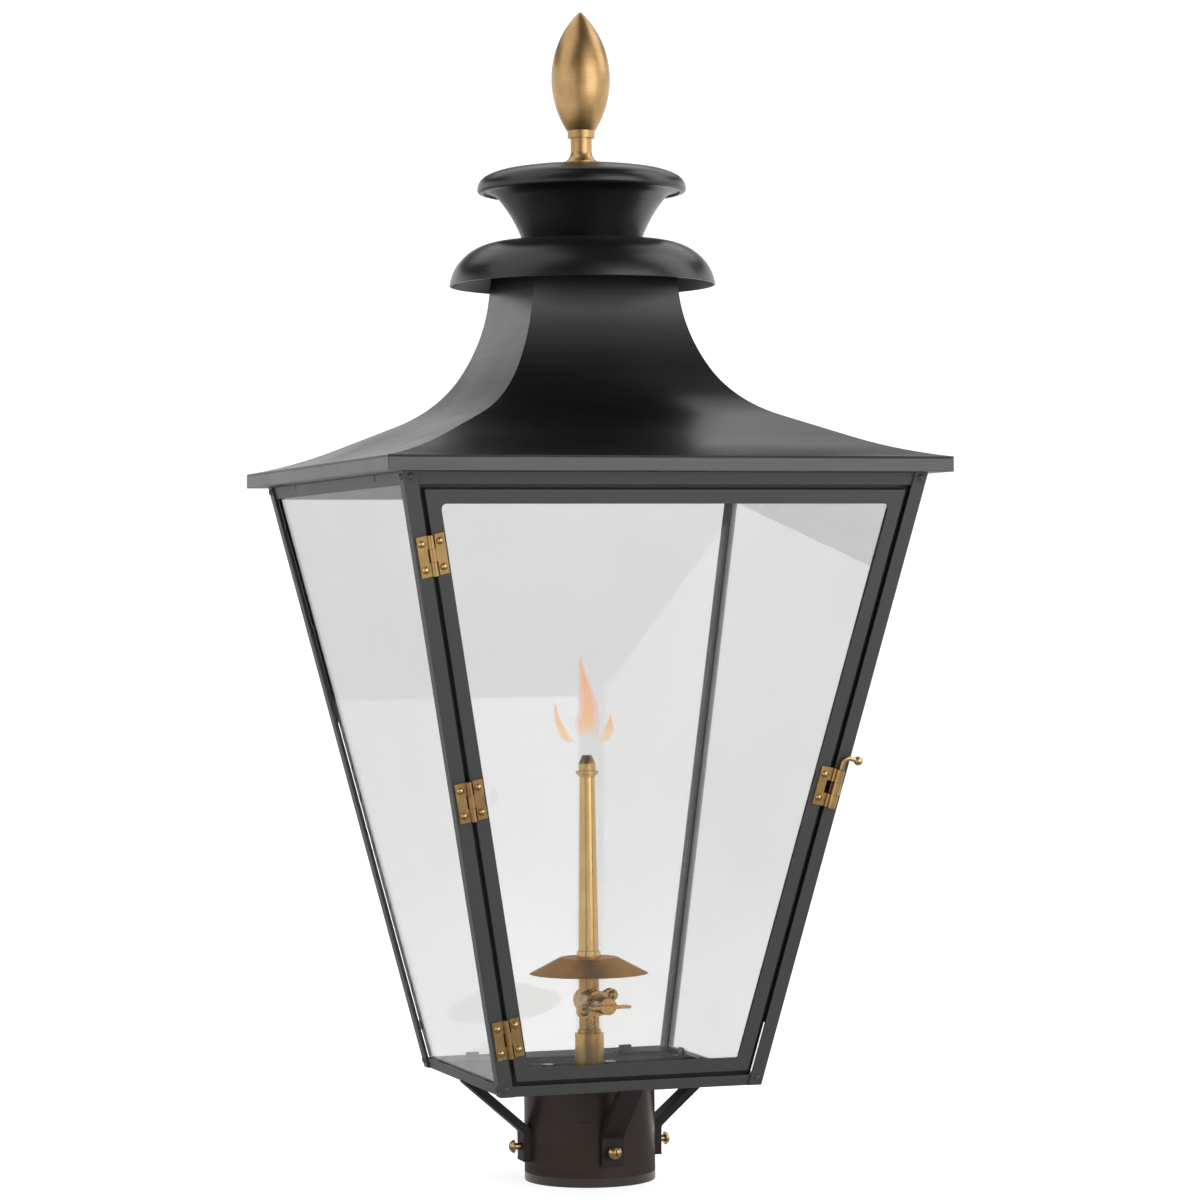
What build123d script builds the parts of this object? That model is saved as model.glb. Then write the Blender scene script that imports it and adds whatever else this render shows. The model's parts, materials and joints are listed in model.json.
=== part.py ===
from build123d import *
import os
from math import atan, atan2, cos, degrees, hypot, radians, sin

# A glazed gas lantern that stands on a round post.
# Lengths are in millimetres and angles in degrees. +Z is up, the door faces -Y, and the origin
# is the centre of the post collar's open lower end.

# Post collar: a tube that slips over the post, with an inner flange under the floor of the body.
post_bore_radius = 42.0
collar_wall = 2.5
collar_flange = 4.0
collar_flange_hole_radius = 22.0
collar_bolt_circle_radius = 32.0
collar_bolt_radius = 2.5
collar_bolt_head_radius = 4.3
collar_bolt_head_height = 3.0
collar_edge_rounding = 0.6

# Body: four corner legs that lean outwards, with rails between their ends.
body_bottom = 70.0
body_height = 405.5
body_bottom_half = 91.0
body_top_half = 178.0
leg_flange = 9.5
leg_sheet = 1.6
leg_edge_rounding = 0.9
rail_sheet = 1.5
rail_lip = 10.0
bottom_rail_height = 7.2
top_rail_height = 8.2
notch_width = 1.4
notch_height = 4.4
notch_half_pitch = 105.0

# Floor plate with draught slots.
floor_sheet = 2.0
floor_clearance = 0.3
slot_length = 56.0
slot_width = 7.0
slot_distance = 58.0

# Glass and the tabs that hold it.
glass_sheet = 3.0
glass_corner_inset = 7.0
glass_top_clearance = 0.5
tab_sheet = 1.0
tab_width = 9.0
tab_reach = 6.0
tab_low_half_pitch = 55.0
tab_high_half_pitch = 108.0

# Door: a folded pan that carries its own glass, flush with the legs.
door_gap = 3.2
door_margin = 9.2
door_sheet = 1.2
door_depth = 7.5
door_sight_rounding = 3.0
door_glass_clearance = 0.3
door_tab_half_pitch = 95.0
stop_sheet = 1.2
stop_clearance = 0.5
stop_overlap = 7.0

# Three butt hinges on the left of the door.
hinge_length = 26.6
hinge_low_rise = 37.4
hinge_high_drop = 54.5
hinge_count = 3
hinge_leaf_width = 9.2
hinge_leaf_sheet = 1.2
hinge_knuckle_radius = 1.9
hinge_axis_height = 1.3
hinge_pin_radius = 1.0
hinge_rivet_inset = 3.2
hinge_rivet_half_pitch = 8.5
knuckle_end_clearance = 0.1
knuckle_side_clearance = 0.9
running_clearance = 0.05

# Latch on the right of the door: two knuckles on the door, one on the leg, and a lift-out pin.
latch_rise = 197.8
latch_length = 26.0
latch_leaf_sheet = 1.0
latch_leaf_reach = 19.2
latch_window_reach = 13.2
latch_axis_inset = 6.0
latch_axis_height = 3.0
latch_knuckle_radius = 2.7
latch_shoulder_radius = 1.3
latch_shoulder_offset = 3.1
latch_shoulder_height = 1.65
latch_web_sheet = 2.7
latch_lift_off = 0.25
latch_rivet_reach = 15.8
latch_rivet_half_pitch = 8.0
latch_pin_radius = 1.5
latch_pin_slot_clearance = 0.35
latch_pin_tail = 0.6
latch_pin_rise = 4.7
latch_pin_bend_radius = 4.0
latch_pin_bend_turn = 95.0
latch_pin_arm = 5.9
latch_ball_radius = 3.0

# Rivets: dark ones at the ends of the legs, brass ones on the hinges and the latch.
rivet_shank_radius = 1.2
frame_rivet_radius = 2.5
frame_rivet_height = 1.5
frame_rivet_inset = 4.9
frame_rivet_low_rise = 5.2
frame_rivet_high_drop = 3.4
brass_rivet_radius = 2.4
brass_rivet_height = 1.8

# Arms from the collar to the bottom rails, and the post screws through them.
arm_width = 15.5
arm_sheet = 5.6
arm_seat_depth = 0.8
arm_pad_bottom = 14.5
arm_bend_height = 34.0
arm_bend_radius = 3.0
arm_top_inset = 0.5
arm_corner_rounding = 1.5
post_screw_height = 24.5
post_screw_radius = 2.35
post_screw_tip_inset = 0.3
post_screw_standoff = 4.8
post_screw_head_radius = 4.6
post_screw_head_height = 3.4
screw_slot_width = 1.1
screw_slot_depth = 1.3

# Roof: an eave frame and four curved panels, with their bends from the eave upwards.
eave_overhang = 12.5
eave_height = 9.9
roof_sheet = 1.2
soffit_lap = 10.0
roof_eave_slope = 9.6
roof_eave_radius = 222.0
roof_eave_turn = 14.0
roof_knee_radius = 76.0
roof_knee_turn = 37.6
roof_neck_radius = 133.5
roof_neck_turn = 23.3
roof_neck_run = 17.0
roof_neck_half = 48.5

# Hood, flared neck and cap: turned shells stacked on a bridge across the roof's neck.
hood_rise = 19.7
hood_overlap = 7.3
hood_shoulder_radius = 36.4
hood_shoulder_turn = 50.3
hood_rim_radius = 30.3
hood_rim_turn = 33.3
spun_sheet = 1.2
flare_foot_radius = 40.1
flare_foot_width = 9.0
flare_foot_slope = 72.0
flare_long_radius = 90.6
flare_long_turn = 22.0
flare_lip_radius = 13.0
flare_lip_turn = 50.0
flare_lip_clearance = 0.3
cap_dome_radius = 313.0
cap_dome_turn = 9.9
cap_shoulder_radius = 41.0
cap_shoulder_turn = 17.8
cap_edge_radius = 10.0
cap_edge_turn = 62.3
cap_curl_radius = 2.5
cap_curl_turn = 90.0
cap_curl_run = 1.6
bridge_sheet = 2.0
bridge_width = 18.0
bridge_leg = 40.0
bridge_bend_radius = 4.0
bridge_clearance = 0.1
rod_radius = 3.0
rod_clearance = 0.2
rod_length = 71.0
rod_head_across_flats = 10.0
rod_head_height = 4.0

# Finial, as radii and heights above the cap.
finial_foot_radius = 11.7
finial_foot_height = 1.4
finial_neck_radius = 7.25
finial_neck_start = 8.4
finial_neck_end = 17.6
finial_ring_radius = 9.3
finial_ring_end = 22.5
finial_bud_foot_radius = 9.6
finial_bud_radius = 20.0
finial_bud_rise = 57.9
finial_height = 103.2
finial_tip_radius = 1.0
finial_bore_depth = 16.0

# Burner, from the gas inlet upwards.
inlet_radius = 9.9
inlet_spigot_radius = 8.2
inlet_thread_radius = 5.8
inlet_thread_length = 16.0
inlet_height = 26.0
inlet_nut_across_flats = 24.0
inlet_nut_height = 4.0
gas_bore_radius = 2.5
valve_bead_radius = 7.9
valve_bead_height = 2.6
valve_neck_radius = 6.95
valve_height = 121.3
valve_barrel_radius = 8.6
valve_barrel_back = 8.6
valve_face_front = 17.5
valve_ear_sheet = 3.0
valve_ear_radius = 4.3
valve_screw_half_pitch = 11.2
valve_cover_turn = 29.0
valve_cover_sheet = 2.5
valve_screw_radius = 1.6
valve_screw_head_radius = 2.9
valve_screw_head_height = 1.8
valve_screw_slot_width = 0.75
bonnet_radius = 6.0
bonnet_length = 18.0
spindle_radius = 3.0
key_disc_radius = 5.8
key_disc_sheet = 3.6
key_gap = 0.3
key_wing_length = 27.6
key_wing_sheet = 2.0
key_wing_rounding = 0.95
key_wing_depth = 7.0
dish_flat_radius = 19.2
dish_rim_radius = 40.0
dish_sheet = 1.2
dish_drop = 11.0
dish_bend_radius = 1.8
dish_top = 151.0
dish_seat_radius = 9.0
dish_seat_sheet = 2.5
tube_foot_radius = 8.2
tube_foot_height = 4.2
tube_bottom_radius = 6.95
tube_top_radius = 5.2
tube_top = 274.2
tube_bore_radius = 3.0
stub_radius = 5.0
stub_length = 14.0
stub_clearance = 0.1
tip_step_radius = 6.1
tip_step_height = 1.5
tip_ring_radius = 7.6
tip_ring_height = 2.2
tip_barrel_radius = 5.8
tip_barrel_height = 4.9
tip_cone_height = 5.8
tip_top_radius = 3.1
tip_slot_width = 0.9
tip_slot_depth = 5.0
tip_socket_depth = 6.0
tip_jet_radius = 1.25
tip_edge_rounding = 0.9

# How far a cutter runs past what it cuts.
cut_over = 1.0

# Sizes that follow from those above.
body_top = body_bottom + body_height
body_run = body_top_half - body_bottom_half
face_tilt = degrees(atan(body_run / body_height))
face_length = hypot(body_height, body_run)
leg_length = hypot(face_length, body_run)
leg_lean = degrees(atan2(body_run, face_length))
collar_radius = post_bore_radius + collar_wall
arm_face = collar_radius + arm_sheet - arm_seat_depth
arm_top_half = body_bottom_half - arm_top_inset
floor_bottom = body_bottom + rail_sheet
floor_top = floor_bottom + floor_sheet
eave_half = body_top_half + eave_overhang
far = 4.0 * eave_half
side_names = ["right", "back", "left", "front"]


def level(sheet):
    """Width, measured level, of a sheet that leans with a face of the body."""
    return sheet / cos(radians(face_tilt))


def body_half(z):
    """Half the width of the body over the legs, at a height."""
    return body_bottom_half + body_run * (z - body_bottom) / body_height


def face_half(v):
    """Half the width of a face, at a distance up its slope."""
    return body_bottom_half + body_run * v / face_length


def walk(start, heading, moves, shift=0.0):
    """Follow straight runs (length,) and bends (radius, turn) from a point along a heading.

    A positive turn goes left. The line is drawn shifted to the left, so a sheet's two faces
    come from two walks. Returns the edges and the end point."""
    heading = radians(heading)
    x = start[0] - shift * sin(heading)
    y = start[1] + shift * cos(heading)
    edges = []
    for move in moves:
        if len(move) == 1:
            end = (x + move[0] * cos(heading), y + move[0] * sin(heading))
            edges.append(Line((x, y), end))
        else:
            turn = radians(move[1])
            radius = move[0] - shift if turn > 0 else -(move[0] + shift)
            centre = (x - radius * sin(heading), y + radius * cos(heading))
            middle = heading + turn / 2
            heading += turn
            through = (centre[0] + radius * sin(middle), centre[1] - radius * cos(middle))
            end = (centre[0] + radius * sin(heading), centre[1] - radius * cos(heading))
            edges.append(ThreePointArc((x, y), through, end))
        x, y = end
    return edges, (x, y)


def sheet_section(start, heading, moves, sheet):
    """Section of a bent sheet: one face along the walk, the other to its left (right if negative)."""
    near, near_end = walk(start, heading, moves)
    distant, distant_end = walk(start, heading, moves, sheet)
    ends = [Line(near_end, distant_end), Line(near[0] @ 0, distant[0] @ 0)]
    return make_face(Curve() + near + distant + ends)


def closed_section(points):
    return make_face(Polyline(*points, close=True))


def across(section, width):
    """Stand a section, drawn as (outwards, up), on the right-hand side and give it a width."""
    return extrude(Plane.XZ * section, amount=width / 2, both=True)


def turned(section):
    """Turn a section, drawn as (radius, up), about the lantern's axis."""
    return revolve(Plane.XZ * section, Axis.Z)


def mitred(shape):
    """Keep what lies between the two diagonals of the right-hand side."""
    corner = closed_section([(0, 0), (far, -far), (far, far)])
    return shape & extrude(corner, amount=far)


def rod(radius, start, end):
    """A round bar between two points."""
    start, end = Vector(*start), Vector(*end)
    length = (end - start).length
    return Plane(origin=start, z_dir=end - start) * Cylinder(
        radius, length, align=(Align.CENTER, Align.CENTER, Align.MIN)
    )


def upright(radius, low, high):
    return rod(radius, (0, 0, low), (0, 0, high))


def on_side(shape, index):
    """Move a piece made on the right-hand side to another side."""
    return shape.rotate(Axis.Z, 90 * index)


def save(name, *shapes):
    solids = [solid for shape in shapes for solid in shape.solids()]
    kept = solids[0] if len(solids) == 1 else Compound(children=solids)
    export_step(kept, f"parts/{name}.step")


def face_plane():
    """The front face: x to the right, y up the slope from the bottom edge, z outwards."""
    tilt = radians(face_tilt)
    return Plane(
        origin=(0, -body_bottom_half, body_bottom),
        x_dir=(1, 0, 0),
        z_dir=(0, -cos(tilt), -sin(tilt)),
    )


def leg_plane(side, rise):
    """At the outer edge of a front leg: y up along the leg, z out of the front face, x to the right.

    side is -1 for the left leg and 1 for the right one, and rise is above the body's bottom."""
    half = body_half(body_bottom + rise)
    along = Vector(side * body_run, -body_run, body_height)
    outward = face_plane().z_dir
    return Plane(
        origin=(side * half, -half, body_bottom + rise), x_dir=along.cross(outward), z_dir=outward
    )


def dome(radius, height):
    """A round head that stands on the local floor."""
    ball_radius = (radius**2 + height**2) / (2 * height)
    ball = Pos(0, 0, height - ball_radius) * Sphere(ball_radius)
    slab = Cylinder(radius, height, align=(Align.CENTER, Align.CENTER, Align.MIN))
    return ball & slab


def rivet(radius, height, grip):
    """A domed head on the local floor with a flush shank that reaches down by the grip."""
    shank = Cylinder(rivet_shank_radius, grip, align=(Align.CENTER, Align.CENTER, Align.MAX))
    return dome(radius, height) + shank


def rivet_hole(grip):
    return Cylinder(rivet_shank_radius + running_clearance, 2 * grip)


def between(low, high, x=far, y=far):
    """A wide block from one height to another."""
    return Pos(0, 0, low) * Box(x, y, high - low, align=(Align.CENTER, Align.CENTER, Align.MIN))


# ---- Rivets at the ends of the legs


def frame_rivet_places():
    """Planes on the right-hand face for the rivets that join legs and rails."""
    places = []
    tilt = radians(face_tilt)
    for z in (body_bottom + frame_rivet_low_rise, body_top - frame_rivet_high_drop):
        for side in (-1, 1):
            centre = (body_half(z), side * (body_half(z) - frame_rivet_inset), z)
            outward = (cos(tilt), 0, -sin(tilt))
            places.append(Plane(origin=centre, x_dir=(0, 1, 0), z_dir=outward))
    return places


frame_grip = leg_sheet + rail_sheet


def frame_rivets():
    return [
        on_side(place * rivet(frame_rivet_radius, frame_rivet_height, frame_grip), index)
        for index in range(4)
        for place in frame_rivet_places()
    ]


def without_frame_rivets(shape):
    for index in range(4):
        for place in frame_rivet_places():
            shape = shape - on_side(place * rivet_hole(frame_grip + cut_over), index)
    return shape


# ---- Body


def corner_leg():
    """The front left leg: an angle that leans out along both faces."""
    corner = -body_bottom_half
    sheet = level(leg_sheet)
    section = closed_section(
        [
            (corner, corner),
            (corner + leg_flange, corner),
            (corner + leg_flange, corner + sheet),
            (corner + sheet, corner + sheet),
            (corner + sheet, corner + leg_flange),
            (corner, corner + leg_flange),
        ]
    )
    outer = section.vertices().sort_by(Axis.X)[:2].sort_by(Axis.Y)[0]
    section = fillet(outer, leg_edge_rounding)
    section = Pos(0, 0, body_bottom) * section
    return Solid.extrude(section.face(), Vector(-body_run, -body_run, body_height))


def rail(low, high, lip_low):
    """A rail behind the leg flanges on the right-hand side, with a level lip that points inwards."""
    outer = level(leg_sheet)
    inner = outer + level(rail_sheet)
    lip_high = lip_low + rail_sheet
    edge = body_half(lip_low) - outer
    flange = closed_section(
        [
            (body_half(low) - outer, low),
            (body_half(high) - outer, high),
            (body_half(high) - inner, high),
            (body_half(low) - inner, low),
        ]
    )
    lip = closed_section(
        [
            (body_half(lip_low) - outer, lip_low),
            (body_half(lip_high) - outer, lip_high),
            (edge - rail_lip, lip_high),
            (edge - rail_lip, lip_low),
        ]
    )
    return mitred(across(flange, far) + across(lip, far))


def bottom_rail():
    return rail(body_bottom, body_bottom + bottom_rail_height, body_bottom)


def top_rail():
    return rail(body_top - top_rail_height, body_top, body_top - rail_sheet)


def notched(shape):
    """Cut the two short upright slits in a glazed side's top rail."""
    for side in (-1, 1):
        block = Box(4 * rail_sheet, notch_width, 2 * notch_height)
        place = Pos(body_top_half - leg_sheet - rail_sheet, side * notch_half_pitch, body_top)
        shape = shape - place * block
    return shape


def floor_plate():
    half = body_half(floor_bottom) - level(leg_sheet) - level(rail_sheet) - floor_clearance
    plate = between(floor_bottom, floor_top, 2 * half, 2 * half)
    plate -= upright(inlet_spigot_radius + stub_clearance, floor_bottom, floor_top)
    slot = extrude(SlotOverall(slot_length, slot_width), amount=far, both=True)
    for index in range(4):
        plate -= on_side(Pos(slot_distance, 0, 0) * slot.rotate(Axis.Z, 90), index)
        plate -= bolt_place(index) * Cylinder(collar_bolt_radius + running_clearance, far)
    return plate


# ---- Post collar


def bolt_place(index):
    angle = radians(45 + 90 * index)
    return Pos(collar_bolt_circle_radius * cos(angle), collar_bolt_circle_radius * sin(angle), 0)


def post_collar():
    tube = upright(collar_radius, 0, floor_bottom)
    tube = fillet(tube.edges().sort_by(Axis.Z)[0], collar_edge_rounding)
    tube -= upright(post_bore_radius, -cut_over, floor_bottom - collar_flange)
    tube -= upright(collar_flange_hole_radius, 0, floor_bottom + cut_over)
    for index in range(4):
        tube -= bolt_place(index) * Cylinder(collar_bolt_radius + running_clearance, far)
        tube -= on_side(post_screw_hole(), index)
    return tube


def collar_bolts():
    bolts = []
    for index in range(4):
        bolt = upright(collar_bolt_radius, floor_bottom - collar_flange, floor_top)
        head = extrude(RegularPolygon(collar_bolt_head_radius, 6), amount=collar_bolt_head_height)
        bolt += Pos(0, 0, floor_top) * head
        bolts.append(bolt_place(index) * bolt)
    return bolts


def post_screw_hole():
    radius = post_screw_radius + running_clearance
    start = (post_bore_radius - cut_over, 0, post_screw_height)
    return rod(radius, start, (body_bottom_half, 0, post_screw_height))


def support_arm():
    """The right-hand arm: an upright pad on the collar, then a bar up to the bottom rail."""
    rise = body_bottom - arm_bend_height
    slope = degrees(atan2(rise, arm_top_half - arm_face))
    turn = 90 - slope
    # the bend eats this much of the pad and of the bar, measured on the outer face
    setback = arm_bend_radius * (sin(radians(turn)) / (1 + cos(radians(turn))))
    pad = arm_bend_height - setback - arm_pad_bottom
    bar = 2 * hypot(rise, arm_top_half - arm_face)
    moves = [(pad,), (arm_bend_radius, -turn), (bar,)]
    arm = across(sheet_section((arm_face, arm_pad_bottom), 90, moves, arm_sheet), arm_width)
    lower_edges = arm.edges().filter_by(Axis.X).group_by(Axis.Z)[0]
    arm = fillet(lower_edges, arm_corner_rounding)
    arm -= upright(collar_radius, -cut_over, floor_bottom)
    arm -= between(body_bottom, body_top)
    return arm - post_screw_hole()


def post_screw():
    tip = post_bore_radius + post_screw_tip_inset
    seat = arm_face + post_screw_standoff
    screw = rod(post_screw_radius, (tip, 0, post_screw_height), (seat, 0, post_screw_height))
    head = dome(post_screw_head_radius, post_screw_head_height)
    slot = Pos(0, 0, post_screw_head_height) * Box(screw_slot_width, far, 2 * screw_slot_depth)
    place = Plane(origin=(seat, 0, post_screw_height), x_dir=(0, 1, 0), z_dir=(1, 0, 0))
    return screw + place * (head - slot)


# ---- Glass


def pane():
    """The right-hand pane: it stands on the floor behind the rails, between the legs."""
    outer = level(leg_sheet) + level(rail_sheet)
    top = body_top - rail_sheet - glass_top_clearance
    section = closed_section(
        [
            (body_half(floor_top) - outer, floor_top),
            (body_half(top) - outer, top),
            (body_half(top) - outer - level(glass_sheet), top),
            (body_half(floor_top) - outer - level(glass_sheet), floor_top),
        ]
    )
    reach = [body_half(z) - glass_corner_inset for z in (floor_top, top)]
    outline = closed_section(
        [(-reach[0], floor_top), (reach[0], floor_top), (reach[1], top), (-reach[1], top)]
    )
    return across(section, far) & extrude(Plane.YZ * outline, amount=far)


def pane_tabs():
    """Angle tabs on the right-hand side that press the pane against the rails."""
    tabs = []
    inner = level(leg_sheet) + level(rail_sheet) + level(glass_sheet)
    low_end = (floor_top, 1, tab_low_half_pitch)
    high_end = (body_top - rail_sheet, -1, tab_high_half_pitch)
    for seat, way, half_pitch in (low_end, high_end):
        end = seat + way * tab_reach
        foot = seat + way * tab_sheet
        back = level(tab_sheet)
        section = closed_section(
            [
                (body_half(seat) - inner, seat),
                (body_half(end) - inner, end),
                (body_half(end) - inner - back, end),
                (body_half(foot) - inner - back, foot),
                (body_half(foot) - inner - tab_reach, foot),
                (body_half(foot) - inner - tab_reach, seat),
            ]
        )
        for side in (-1, 1):
            tabs.append(Pos(0, side * half_pitch, 0) * across(section, tab_width))
    return tabs


# ---- Door


door_low = level(bottom_rail_height) + door_gap
door_high = level(body_height - top_rail_height) - door_gap
door_corner_inset = leg_flange + door_gap


def slope_outline(low, high, inset):
    """A four-cornered outline on the front face, kept a level distance inside the leg edges."""
    return closed_section(
        [
            (-(face_half(low) - inset), low),
            (face_half(low) - inset, low),
            (face_half(high) - inset, high),
            (-(face_half(high) - inset), high),
        ]
    )


def sunk(outline, near, depth):
    """Give an outline on the front face a thickness that starts at a depth behind the face."""
    return face_plane() * extrude(Pos(0, 0, -near) * outline, amount=near - depth)


def door_frame():
    margin = door_margin
    sight = slope_outline(door_low + margin, door_high - margin, door_corner_inset + margin)
    sight = fillet(sight.vertices(), door_sight_rounding)
    outline = slope_outline(door_low, door_high, door_corner_inset)
    inside = slope_outline(door_low + door_sheet, door_high - door_sheet, door_corner_inset + door_sheet)
    frame = sunk(outline, 0, door_depth) - sunk(inside, door_sheet, far) - sunk(sight, -cut_over, far)
    for place in hinge_places() + [latch_place()]:
        for hole in brass_rivet_spots("door", place):
            frame -= hole * rivet_hole(hinge_leaf_sheet + door_sheet + cut_over)
    return frame


def door_glass():
    edge = door_sheet + door_glass_clearance
    outline = slope_outline(door_low + edge, door_high - edge, door_corner_inset + edge)
    return sunk(outline, door_sheet, door_sheet + glass_sheet)


def door_tabs():
    """Angle tabs inside the pan: two on each upright and one each at the top and the bottom."""
    back = door_sheet + glass_sheet
    strip = slope_outline(door_low + door_sheet, door_high - door_sheet, door_corner_inset + door_sheet)
    hollow = slope_outline(
        door_low + door_sheet + tab_sheet,
        door_high - door_sheet - tab_sheet,
        door_corner_inset + door_sheet + tab_sheet,
    )
    reach = slope_outline(
        door_low + door_sheet + tab_reach,
        door_high - door_sheet - tab_reach,
        door_corner_inset + door_sheet + tab_reach,
    )
    ring = sunk(strip, back, door_depth) - sunk(hollow, back + tab_sheet, far) - sunk(reach, back, far)
    middle = (door_low + door_high) / 2
    windows = [(0, door_low), (0, door_high)]
    for rise in (-door_tab_half_pitch, door_tab_half_pitch):
        windows += [(side * face_half(middle + rise), middle + rise) for side in (-1, 1)]
    tabs = []
    for u, v in windows:
        size = (tab_width, 4 * tab_reach) if u == 0 else (8 * tab_reach, tab_width)
        tabs.append(ring & (face_plane() * (Pos(u, v, 0) * Box(*size, far))))
    return tabs


def door_stop():
    """A flat frame behind the gap round the door, standing on the floor."""
    near = door_depth + stop_clearance
    depth = near + stop_sheet
    outline = slope_outline(-far / 8, face_length + far / 8, glass_corner_inset)
    window = slope_outline(
        door_low + stop_overlap, door_high - stop_overlap, door_corner_inset + stop_overlap
    )
    frame = sunk(outline, near, depth) - sunk(window, 0, far)
    return frame & between(floor_top, body_top - rail_sheet)


# ---- Hinges


lean_factor = cos(radians(leg_lean))
hinge_axis_x = (leg_flange + door_gap / 2) * lean_factor
knuckle_third = hinge_length / 3


def hinge_places():
    pitch = (body_height - hinge_low_rise - hinge_high_drop) / (hinge_count - 1)
    return [leg_plane(-1, hinge_low_rise + index * pitch) for index in range(hinge_count)]


def brass_rivet_spots(owner, place):
    """Planes for the brass rivets that fix a leaf at a place, on the leg or on the door."""
    if place.origin.X > 0:
        spots = [(-latch_rivet_reach * lean_factor, latch_rivet_half_pitch)] if owner == "door" else []
        sheet = latch_leaf_sheet
    else:
        offset = hinge_leaf_width - hinge_rivet_inset
        x = hinge_axis_x + (offset if owner == "door" else -offset)
        spots = [(x, hinge_rivet_half_pitch)]
        sheet = hinge_leaf_sheet
    return [place * Plane(origin=(x, side * y, sheet)) for x, y in spots for side in (-1, 1)]


def brass_rivets(owner):
    sheet = door_sheet if owner == "door" else leg_sheet
    rivets = []
    for place in hinge_places() + [latch_place()]:
        leaf = latch_leaf_sheet if place.origin.X > 0 else hinge_leaf_sheet
        for spot in brass_rivet_spots(owner, place):
            rivets.append(spot * rivet(brass_rivet_radius, brass_rivet_height, leaf + sheet))
    return rivets


def bar_along(radius, x, height, low, high):
    """A round bar along a leg, in the leg's own plane."""
    return rod(radius, (x, low, height), (x, high, height))


def slab(x_low, x_high, y_low, y_high, z_low, z_high):
    return Pos(x_low, y_low, z_low) * Box(
        x_high - x_low, y_high - y_low, z_high - z_low, align=(Align.MIN, Align.MIN, Align.MIN)
    )


def hinge_leaf(owner):
    """One leaf in the leg's plane: the frame leaf has the end knuckles, the door leaf the middle one."""
    way = 1 if owner == "door" else -1
    low, high = sorted((hinge_axis_x, hinge_axis_x + way * hinge_leaf_width))
    end = hinge_length / 2
    leaf = slab(low, high, -end, end, 0, hinge_leaf_sheet)
    thirds = [-end, -knuckle_third / 2, knuckle_third / 2, end]
    for index in range(3):
        mine = (index == 1) == (owner == "door")
        if mine:
            y_low = -end if index == 0 else thirds[index] + knuckle_end_clearance
            y_high = end if index == 2 else thirds[index + 1] - knuckle_end_clearance
            leaf += bar_along(hinge_knuckle_radius, hinge_axis_x, hinge_axis_height, y_low, y_high)
        else:
            y_low = thirds[index] - knuckle_end_clearance
            y_high = thirds[index + 1] + knuckle_end_clearance
            space = hinge_knuckle_radius + knuckle_side_clearance
            leaf -= bar_along(space, hinge_axis_x, hinge_axis_height, y_low, y_high)
            leaf -= slab(
                hinge_axis_x - space, hinge_axis_x + space, y_low, y_high, 0, hinge_leaf_sheet
            )
    bore = hinge_pin_radius + running_clearance
    return leaf - bar_along(bore, hinge_axis_x, hinge_axis_height, -hinge_length, hinge_length)


def hinge_leaves(owner):
    leaves = []
    for place in hinge_places():
        leaf = place * hinge_leaf(owner)
        for spot in brass_rivet_spots(owner, place):
            leaf -= spot * rivet_hole(hinge_leaf_sheet + cut_over)
        leaves.append(leaf)
    return leaves


def hinge_pins():
    end = hinge_length / 2
    pin = bar_along(hinge_pin_radius, hinge_axis_x, hinge_axis_height, -end, end)
    return [place * pin for place in hinge_places()]


# ---- Latch


latch_axis_x = -latch_axis_inset * lean_factor
latch_third = latch_length / 3


def latch_place():
    return leg_plane(1, latch_rise)


def latch_leaf():
    """The door's half: a plate with a window, and two knuckles that are open towards the leg."""
    end = latch_length / 2
    leaf = slab(-latch_leaf_reach * lean_factor, latch_axis_x, -end, end, 0, latch_leaf_sheet)
    inner = latch_third / 2 + knuckle_end_clearance
    slot = latch_pin_radius + latch_pin_slot_clearance
    shoulder_x = latch_axis_x - latch_shoulder_offset
    for y_low, y_high in ((-end, -inner), (inner, end)):
        leaf += bar_along(latch_knuckle_radius, latch_axis_x, latch_axis_height, y_low, y_high)
        leaf += bar_along(latch_shoulder_radius, shoulder_x, latch_shoulder_height, y_low, y_high)
    leaf -= bar_along(slot, latch_axis_x, latch_axis_height, -latch_length, latch_length)
    mouth = (latch_axis_x - slot, latch_axis_x + slot, -latch_length, latch_length)
    leaf -= slab(*mouth, -cut_over, latch_axis_height)
    # the window takes the leg's knuckle, and the plate is relieved where it passes over the leg
    leaf -= slab(-latch_window_reach * lean_factor, 0, -inner, inner, -cut_over, far)
    over_leg = -(leg_flange + door_gap / 2) * lean_factor
    leaf -= slab(over_leg, far, -latch_length, latch_length, -cut_over, latch_lift_off)
    leaf = latch_place() * leaf
    for spot in brass_rivet_spots("door", latch_place()):
        leaf -= spot * rivet_hole(latch_leaf_sheet + cut_over)
    return leaf


def latch_keeper():
    """The leg's half: the middle knuckle on a foot that is brazed to the leg."""
    inner = latch_third / 2 - knuckle_end_clearance
    foot = slab(-leg_flange * lean_factor, -leg_edge_rounding, -inner, inner, 0, latch_leaf_sheet)
    keeper = foot + bar_along(latch_knuckle_radius, latch_axis_x, latch_axis_height, -inner, inner)
    web_low = latch_axis_x - latch_web_sheet / 2
    keeper += slab(web_low, web_low + latch_web_sheet, -inner, inner, 0, latch_axis_height)
    bore = latch_pin_radius + running_clearance
    return latch_place() * (keeper - bar_along(bore, latch_axis_x, latch_axis_height, -far, far))


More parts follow.
